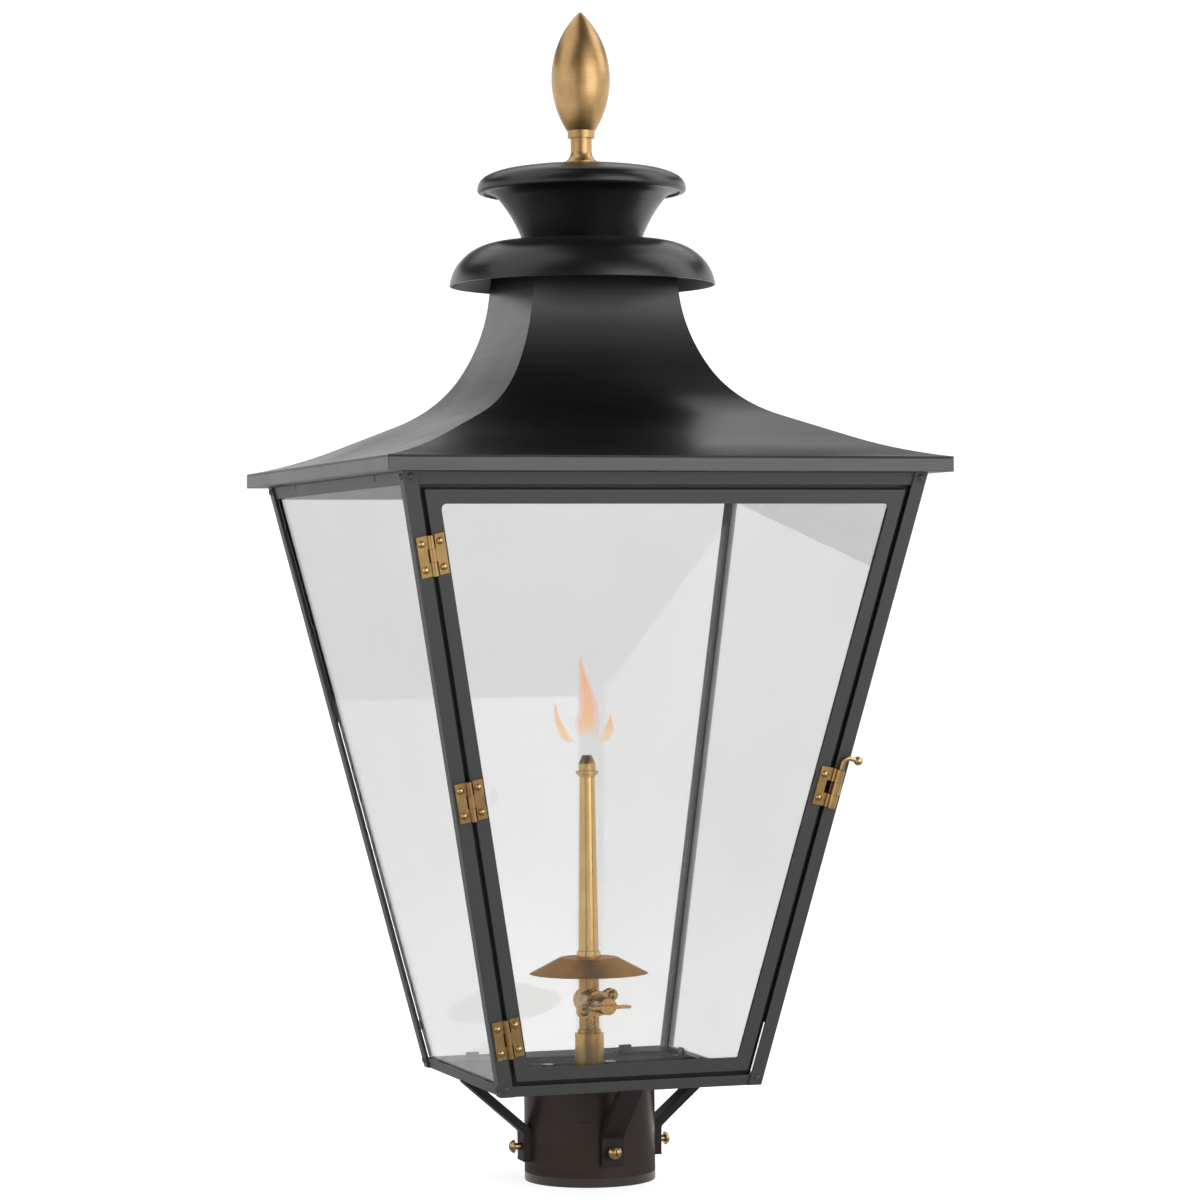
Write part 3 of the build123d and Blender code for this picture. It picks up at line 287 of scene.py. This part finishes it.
def floatGlass(name, look=glass):
    # Clear float glass, polished flat: no ripple, only the faintest uneven film left by wiping it.
    material, tree, shader = newMaterial(name)
    place = addNode(tree, "ShaderNodeTexCoord").outputs["Object"]
    film = addNode(tree, "ShaderNodeTexNoise",
                   {"Vector": place, "Scale": 1000 / look["filmSize"], "Detail": 2.0}).outputs["Fac"]
    colour = addNode(tree, "ShaderNodeMix",
                     {mixFactor: film, mixFirst: linear(look["tint"]), mixSecond: linear(look["film"])},
                     data_type="RGBA").outputs[mixResult]
    setInputs(tree, shader, {"Base Color": colour, "IOR": look["ior"], "Roughness": 0.0,
                             "Transmission Weight": 1.0})
    return material


finish = {}
for name, changes in paints.items():
    for axis in changes["axes"]:
        finish[name + axis] = sprayedPaint(name + axis, axis, {**paint, **changes})
for name, changes in metals.items():
    finish[name] = brushedMetal(name, {**brass, **changes})
finish["clearFloatGlass"] = floatGlass("clearFloatGlass")
print("materials made")

# A paint's last letter is its axis.
wornBy = {
    "satinBlackPaintX": ["glass_tabs", "door_tabs", "top_rail_front", "top_rail_back",
                         "bottom_rail_front", "bottom_rail_back"],
    "satinBlackPaintY": ["top_rail_left", "top_rail_right", "bottom_rail_left", "bottom_rail_right"],
    "satinBlackPaintZ": ["frame_rivets", "door_frame", "door_stop", *cornerLegs],
    "brushedBlackEaveX": ["eave_frame"],
    "roofBlackPaintX": ["roof_panel_front", "roof_panel_back"],
    "roofBlackPaintY": ["roof_panel_left", "roof_panel_right"],
    "spunBlackPaintZ": ["top_cap", "flared_neck", "vent_hood"],
    "darkBronzeCollarZ": ["post_collar"],
    "darkBronzeArmZ": ["support_arm_" + side for side in sides],
    "floorPaintX": ["base_plate"],
    "satinBrassFinial": ["finial"],
    "machinedBrassBurner": ["burner_tube"],
    "heatDulledBrassTip": ["burner_tip"],
    "spunBrassDish": ["burner_dish"],
    "machinedBrassCoupling": ["inlet_coupling", "inlet_nut"],
    "castBrassValve": ["valve_body", "valve_bonnet", "valve_key"],
    "rolledBrassHinge": ["hinge_door_leaves", "hinge_frame_leaves", "latch_keeper", "latch_leaf"],
    "turnedBrassScrew": ["valve_screws", "brass_rivets_door", "brass_rivets_leg", "hinge_pins", "latch_pin",
                         *("post_screw_" + side for side in sides)],
    "zincPlatedSteel": ["finial_bolt", "vent_bridge", "collar_bolts"],
    "clearFloatGlass": ["door_glass", "glass_back", "glass_left", "glass_right"],
}
finishOf = {node: finish[name] for name, wearers in wornBy.items() for node in wearers}
for name, obj in nodes.items():
    for materialSlot in obj.material_slots:
        materialSlot.material = finishOf[name]
print("CAD nodes finished")

# An edge is eased where it is longer than shortest, in millimetres, and bends more than sharpAngle.
edges = {"sharpAngle": 28.0, "shortest": 4.0, "segments": 3, "weld": 0.001, "flatAngle": 0.5,
         "smoothAngle": 40.0}
easedBy = {"eave_frame": 0.45, "door_frame": 0.55, "base_plate": 0.3, "door_stop": 0.2}  # millimetres
for side in sides:
    easedBy["top_rail_" + side] = 0.3
    easedBy["bottom_rail_" + side] = 0.4
    easedBy["support_arm_" + side] = 0.7
for name in cornerLegs:
    easedBy[name] = 0.35


def easedCopy(node, width, look=edges):
    # a copy of a CAD part with its long edges eased, as folded and sprayed sheet has
    work = bmesh.new()
    work.from_mesh(nodes[node].data)
    bmesh.ops.remove_doubles(work, verts=work.verts, dist=look["weld"] * mm)
    bmesh.ops.dissolve_limit(work, angle_limit=math.radians(look["flatAngle"]),
                             verts=work.verts, edges=work.edges)
    sharp = []
    for edge in work.edges:
        if len(edge.link_faces) == 2 and edge.calc_length() > look["shortest"] * mm:
            if edge.calc_face_angle(0) > math.radians(look["sharpAngle"]):
                sharp.append(edge)
    bmesh.ops.bevel(work, geom=sharp, offset=width * mm, offset_type="OFFSET",
                    segments=look["segments"], profile=0.5, affect="EDGES", clamp_overlap=False)
    first, *others = node.split("_")
    obj = meshObject(first + "".join(word.capitalize() for word in others), work, finishOf[node])
    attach(obj, bodyOf[node])
    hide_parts(node)
    for old in ("custom_normal", "sharp_face", "sharp_edge"):
        if old in obj.data.attributes:
            obj.data.attributes.remove(obj.data.attributes[old])
    obj.data.set_sharp_from_angle(angle=math.radians(look["smoothAngle"]))
    weighted = obj.modifiers.new("flatFaces", "WEIGHTED_NORMAL")
    weighted.keep_sharp = True


for name, width in easedBy.items():
    easedCopy(name, width)
print("bevelled copies made:", len(easedBy))


def skinRings(work, rings):
    # faces from each ring of points to the next, and one across each end
    for low, high in zip(rings, rings[1:]):
        for k in range(len(low)):
            n = (k + 1) % len(low)
            work.faces.new((low[k], low[n], high[n], high[k]))
    work.faces.new(list(reversed(rings[0])))
    work.faces.new(rings[-1])


# Millimetres. The inner edge of the leg's flange is edgeAtFoot from the middle at height 0, and it moves
# out by slope for each millimetre up. inset is measured outwards from it, and depth back from its face.
gapStrip = {"edgeAtFoot": 66.5, "slope": 0.2145, "flange": 9.5, "inset": (0.9, 3.0), "depth": (1.95, 6.8),
        "heights": (112, 478), "eased": 0.3, "easeSegments": 2}
# A dark matt strip behind the gap beside the door, where the leg's return flange stands. It is painted
# darker than the frame's lacquer as shade, so that the gap reads as a plain dark line.
gapShadePaint = {**paint, "dark": "#1a1a1a", "light": "#222222", "roughLow": 0.6, "roughHigh": 0.72,
                "streakAcross": 2.5}


def gapShadeStrip(name, leg, side, material, look=gapStrip):
    # a strip of painted shade behind the front leg's flange; side is 1 on the right and -1 on the left
    work = bmesh.new()
    rings = []
    near, far = look["inset"]
    front, back = look["depth"]
    for height in look["heights"]:
        edge = look["edgeAtFoot"] + look["slope"] * height
        face = -(edge + look["flange"])
        corners = [(near, front), (far, front), (far, back), (near, back)]
        spots = [Vector((side * (edge + x), face + y, height)) * mm for x, y in corners]
        rings.append([work.verts.new(spot) for spot in spots])
    skinRings(work, rings)
    bmesh.ops.recalc_face_normals(work, faces=work.faces)
    bmesh.ops.bevel(work, geom=work.edges[:], offset=look["eased"] * mm, offset_type="OFFSET",
                    segments=look["easeSegments"], profile=0.5, affect="EDGES")
    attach(meshObject(name, work, material), bodyOf[leg])


gapShade = sprayedPaint("glazingSealantZ", "Z", gapShadePaint)
gapShadeStrip("glazingBeadRight", "corner_leg_front_right", 1, gapShade)
gapShadeStrip("glazingBeadLeft", "corner_leg_front_left", -1, gapShade)
print("glazing beads made")

# Millimetres, with heights above base, the top of the burner's tip. A tongue's points are (aside, ahead,
# height, half width), as the camera sees them. cone is how steep the side of the unlit cone is, and thick
# is the most that one shell of a flame hides.
flame = {"base": 288.6, "ring": 18, "steps": 5, "flatness": 0.62, "leastHalf": 0.05, "glow": 1.1,
         "colourFrom": 8, "colourTo": 62, "colourMiddle": 0.4, "litFrom": 16, "litTo": 27, "cone": 1.1,
         "wispSize": 6.0, "wispLow": 0.35, "wispHigh": 0.65, "wispThin": 0.5,
         "veil": {"shells": (1.0, 0.74), "thick": 0.23,
                  "low": "#ffc68a", "mid": "#fdb083", "high": "#fbb494"},
         "heart": {"shells": (0.46,), "thick": 0.46,
                   "low": "#ffe3a0", "mid": "#ffc873", "high": "#fcae7c"},
         "tongues": {
             "flameCentre": [(0.2, 0, 12, 6.5), (0.4, 0, 19.8, 8.2), (0.8, 0, 26, 7.7),
                             (1.3, 0, 31.4, 6.6), (0.7, 0, 37, 5.9), (-0.1, 0, 43, 5.2),
                             (-1.3, 0, 49, 4.1), (-2.4, 0, 54.7, 2.9), (-3.4, 0, 61.7, 1.5),
                             (-3.8, 0, 67, 0.1)],
             "flameLeft": [(-7.8, 0, 9.5, 0.8), (-10.5, 1, 9, 3.0), (-13.5, 1, 11.5, 3.6),
                           (-16.6, 1, 16.5, 3.2), (-19.0, 1, 22.5, 2.5), (-20.8, 1, 30, 1.3),
                           (-21.6, 1, 36.5, 0.1)],
             "flameRight": [(8.6, 0, 8.6, 0.8), (11.0, -1, 9.4, 2.6), (13.5, -1, 12.6, 3.4),
                            (15.2, -1, 17.5, 3.4), (15.9, -1, 22.5, 2.0), (16.1, -1, 28.6, 0.1)],
         }}


def burningGas(name, layer, look=flame):
    # A gas flame in daylight: thin and see-through, pale orange with a yellower heart, and hollow
    # just above the burner, where the gas hasn't lit yet.
    material, tree, shader = newMaterial(name)
    place = addNode(tree, "ShaderNodeTexCoord").outputs["Object"]
    up = addNode(tree, "ShaderNodeSeparateXYZ", {"Vector": place}).outputs["Z"]
    rise = addNode(tree, "ShaderNodeMapRange",
                   {"Value": up, "From Min": (look["base"] + look["colourFrom"]) * mm,
                    "From Max": (look["base"] + look["colourTo"]) * mm}).outputs["Result"]
    ramp = addNode(tree, "ShaderNodeValToRGB", {"Fac": rise})
    ramp.color_ramp.elements[0].color = linear(layer["low"])
    ramp.color_ramp.elements[1].color = linear(layer["high"])
    ramp.color_ramp.elements.new(look["colourMiddle"]).color = linear(layer["mid"])
    # a cone of unlit gas stands above the burner, and the flame fades in above it and around it
    level = addNode(tree, "ShaderNodeVectorMath", {0: place, 1: (look["cone"], look["cone"], 0.0)},
                    operation="MULTIPLY").outputs["Vector"]
    outward = addNode(tree, "ShaderNodeVectorMath", {0: level}, operation="LENGTH").outputs["Value"]
    reach = addNode(tree, "ShaderNodeMath", {0: up, 1: outward}, operation="ADD").outputs[0]
    lit = addNode(tree, "ShaderNodeMapRange",
                  {"Value": reach, "From Min": (look["base"] + look["litFrom"]) * mm,
                   "From Max": (look["base"] + look["litTo"]) * mm,
                   "To Min": 0.0, "To Max": layer["thick"]}).outputs["Result"]
    wisp = addNode(tree, "ShaderNodeTexNoise",
                   {"Vector": place, "Scale": 1000 / look["wispSize"], "Detail": 2.0}).outputs["Fac"]
    veil = addNode(tree, "ShaderNodeMapRange",
                   {"Value": wisp, "From Min": look["wispLow"], "From Max": look["wispHigh"],
                    "To Min": look["wispThin"], "To Max": 1.0}).outputs["Result"]
    alpha = addNode(tree, "ShaderNodeMath", {0: lit, 1: veil}, operation="MULTIPLY").outputs[0]
    setInputs(tree, shader, {"Emission Color": ramp.outputs["Color"], "Alpha": alpha,
                             "Base Color": (0, 0, 0, 1), "Emission Strength": look["glow"],
                             "Specular IOR Level": 0.0, "Roughness": 1.0})
    return material


def smoothRoute(points, steps):
    # a smooth line through rows of numbers, in steps from each row to the next
    rows = [points[0], *points, points[-1]]
    route = []
    for before, start, end, after in zip(rows, rows[1:], rows[2:], rows[3:]):
        for step in range(steps):
            t = step / steps
            route.append([0.5 * (2 * b + (c - a) * t + (2 * a - 5 * b + 4 * c - d) * t * t
                                 + (3 * b - a - 3 * c + d) * t ** 3)
                          for a, b, c, d in zip(before, start, end, after)])
    route.append(list(points[-1]))
    return route


def tongueOfFlame(name, points, material, shells, look=flame):
    # nested thin shells, so that the flame is densest in the middle and soft at its edge
    work = bmesh.new()
    route = smoothRoute(points, look["steps"])
    for shell in shells:
        rings = []
        for aside, ahead, height, half in route:
            centre = asideOfCamera * aside + aheadOfCamera * ahead + Vector((0, 0, look["base"] + height))
            half = max(half, look["leastHalf"]) * shell
            ring = []
            for k in range(look["ring"]):
                a = 2 * math.pi * k / look["ring"]
                across = asideOfCamera * (half * math.cos(a))
                along = aheadOfCamera * (half * look["flatness"] * math.sin(a))
                ring.append(work.verts.new((centre + across + along) * mm))
            rings.append(ring)
        skinRings(work, rings)
    bmesh.ops.recalc_face_normals(work, faces=work.faces)
    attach(meshObject(name, work, material), "lantern")


for kind in ("veil", "heart"):
    layer = flame[kind]
    gas = burningGas("gasFlame" + kind.capitalize(), layer)
    for name, points in flame["tongues"].items():
        tongueOfFlame(name + kind.capitalize(), points, gas, layer["shells"])
print("flame made")

# Metres. aim is the height that the panels face. A panel's light falls to edgeLight of its brightness
# from fadeFrom to fadeTo, which are distances from its middle as shares of its width or length.
studio = {"wallRadius": 5.2, "wallHeight": 2.2, "cove": 1.0, "coveSteps": 8, "innerRing": 1.0,
          "turnSteps": 64, "weld": 0.00001, "pale": "#bcbcbb", "glow": 0.80, "ceiling": 0.05,
          "aim": 0.42, "fadeFrom": 0.46, "fadeTo": 0.5, "edgeLight": 0.3}


def studioRoom(look=studio):
    # A round white cove, so that every view has the same plain pale ground and background.
    work = bmesh.new()
    radius, cove = look["wallRadius"], look["cove"]
    profile = [(0.0, 0.0), (look["innerRing"], 0.0), (radius - cove, 0.0)]
    for k in range(1, look["coveSteps"] + 1):
        a = math.radians(90 * k / look["coveSteps"])
        profile.append((radius - cove + cove * math.sin(a), cove * (1 - math.cos(a))))
    profile.append((radius, look["wallHeight"]))
    verts = [work.verts.new((r, 0, z)) for r, z in profile]
    lines = [work.edges.new(pair) for pair in zip(verts, verts[1:])]
    bmesh.ops.spin(work, geom=verts + lines, cent=(0, 0, 0), axis=(0, 0, 1), angle=2 * math.pi,
                   steps=look["turnSteps"])
    bmesh.ops.remove_doubles(work, verts=work.verts, dist=look["weld"])
    bmesh.ops.recalc_face_normals(work, faces=work.faces)
    # matt white painted board; its own light keeps it pale and even from every side
    material, tree, shader = newMaterial("mattWhiteBoard")
    setInputs(tree, shader, {"Base Color": linear(look["pale"]), "Roughness": 0.9,
                             "Specular IOR Level": 0.1, "Emission Color": (1, 1, 1, 1),
                             "Emission Strength": look["glow"]})
    meshObject("studioCove", work, material)


studioRoom()

# Cloth-fronted light panels and grey cards. aside, ahead and height are metres from the foot of the collar,
# as the camera sees it. bright is a panel's brightness against the white ground, and faces is its
# direction where it doesn't face the lantern.
panels = {
    "keyRight": {"aside": 1.66, "ahead": -1.74, "height": 0.94, "size": (2.0, 1.78), "bright": 2.8},
    "highRight": {"aside": 1.20, "ahead": -1.60, "height": 2.15, "size": (1.9, 0.7), "bright": 0.7},
    "fillLeft": {"aside": -2.20, "ahead": -0.85, "height": 0.87, "size": (1.5, 1.5), "bright": 1.25},
    "overhead": {"aside": 0.02, "ahead": 1.46, "height": 2.1, "size": (4.0, 2.3), "bright": 1.2,
                 "faces": (0, 0, -1)},
    "overLeft": {"aside": -0.90, "ahead": -0.35, "height": 1.7, "size": (1.4, 1.4), "bright": 1.25},
    "overRight": {"aside": 1.40, "ahead": 0.25, "height": 1.6, "size": (1.0, 1.5), "bright": 2.2},
    "greyCardFront": {"aside": -0.30, "ahead": -1.90, "height": 0.92, "size": (0.62, 1.5), "bright": 0.05,
                      "reflectionOnly": True},
    # The floor card is painted shade on the floor: a dim sheet seen only in reflections, reaching under the
    # lantern where its shadow falls.
    "greyCardFloor": {"aside": 0.45, "ahead": -0.62, "height": 0.006, "size": (1.7, 1.6), "bright": 0.22,
                      "faces": (0, 0, 1), "reflectionOnly": True},
    "greyCardBack": {"aside": -0.87, "ahead": 1.21, "height": 0.17, "size": (1.8, 2.8), "bright": 0.5,
                     "faces": (0.034, -0.11, 0.993), "reflectionOnly": True},
}


def panelCloth(name, bright, look=studio):
    # White cloth lit from behind, with a black cover at its back: the light is even in the middle and
    # falls off in a narrow band along the edges, which keeps its reflections soft-edged.
    material, tree, shader = newMaterial(name)
    place = addNode(tree, "ShaderNodeTexCoord").outputs["Generated"]
    fromMiddle = addNode(tree, "ShaderNodeVectorMath", {0: place, 1: (0.5, 0.5, 0.0)},
                         operation="SUBTRACT").outputs["Vector"]
    parts = addNode(tree, "ShaderNodeSeparateXYZ", {"Vector": fromMiddle})
    fades = []
    for axis in "XY":
        away = addNode(tree, "ShaderNodeMath", {0: parts.outputs[axis]}, operation="ABSOLUTE").outputs[0]
        fades.append(addNode(tree, "ShaderNodeMapRange",
                             {"Value": away, "From Min": look["fadeTo"], "From Max": look["fadeFrom"],
                              "To Min": look["edgeLight"], "To Max": 1.0}).outputs["Result"])
    fade = addNode(tree, "ShaderNodeMath", {0: fades[0], 1: fades[1]}, operation="MULTIPLY").outputs[0]
    back = addNode(tree, "ShaderNodeNewGeometry").outputs["Backfacing"]
    front = addNode(tree, "ShaderNodeMath", {0: 1.0, 1: back}, operation="SUBTRACT").outputs[0]
    shown = addNode(tree, "ShaderNodeMath", {0: fade, 1: front}, operation="MULTIPLY").outputs[0]
    power = addNode(tree, "ShaderNodeMath", {0: shown, 1: bright}, operation="MULTIPLY").outputs[0]
    setInputs(tree, shader, {"Base Color": (0, 0, 0, 1), "Specular IOR Level": 0.0,
                             "Emission Color": (1, 1, 1, 1), "Emission Strength": power})
    return material


def placePanel(name, panel, look=studio):
    height = Vector((0, 0, panel["height"]))
    place = asideOfCamera * panel["aside"] + aheadOfCamera * panel["ahead"] + height
    behind = -Vector(panel["faces"]) if "faces" in panel else place - Vector((0, 0, look["aim"]))
    work = bmesh.new()
    bmesh.ops.create_grid(work, x_segments=1, y_segments=1, size=0.5)  # one metre square
    bmesh.ops.scale(work, vec=(*panel["size"], 1), verts=work.verts)
    obj = meshObject(name, work, panelCloth(name + "Cloth", panel["bright"]))
    obj.location = place
    obj.rotation_euler = behind.to_track_quat("-Z", "Y").to_euler()
    obj.visible_camera = False
    if panel.get("reflectionOnly"):
        obj.visible_transmission = False
        obj.visible_shadow = False
        obj.visible_diffuse = False


for name, panel in panels.items():
    placePanel(name, panel)

world = bpy.data.worlds.new("darkCeiling")
world.use_nodes = True
setInputs(world.node_tree, world.node_tree.nodes["Background"],
          {"Color": (1, 1, 1, 1), "Strength": studio["ceiling"]})
bpy.context.scene.world = world
bpy.context.scene.view_settings.view_transform = "Standard"
print("studio made")
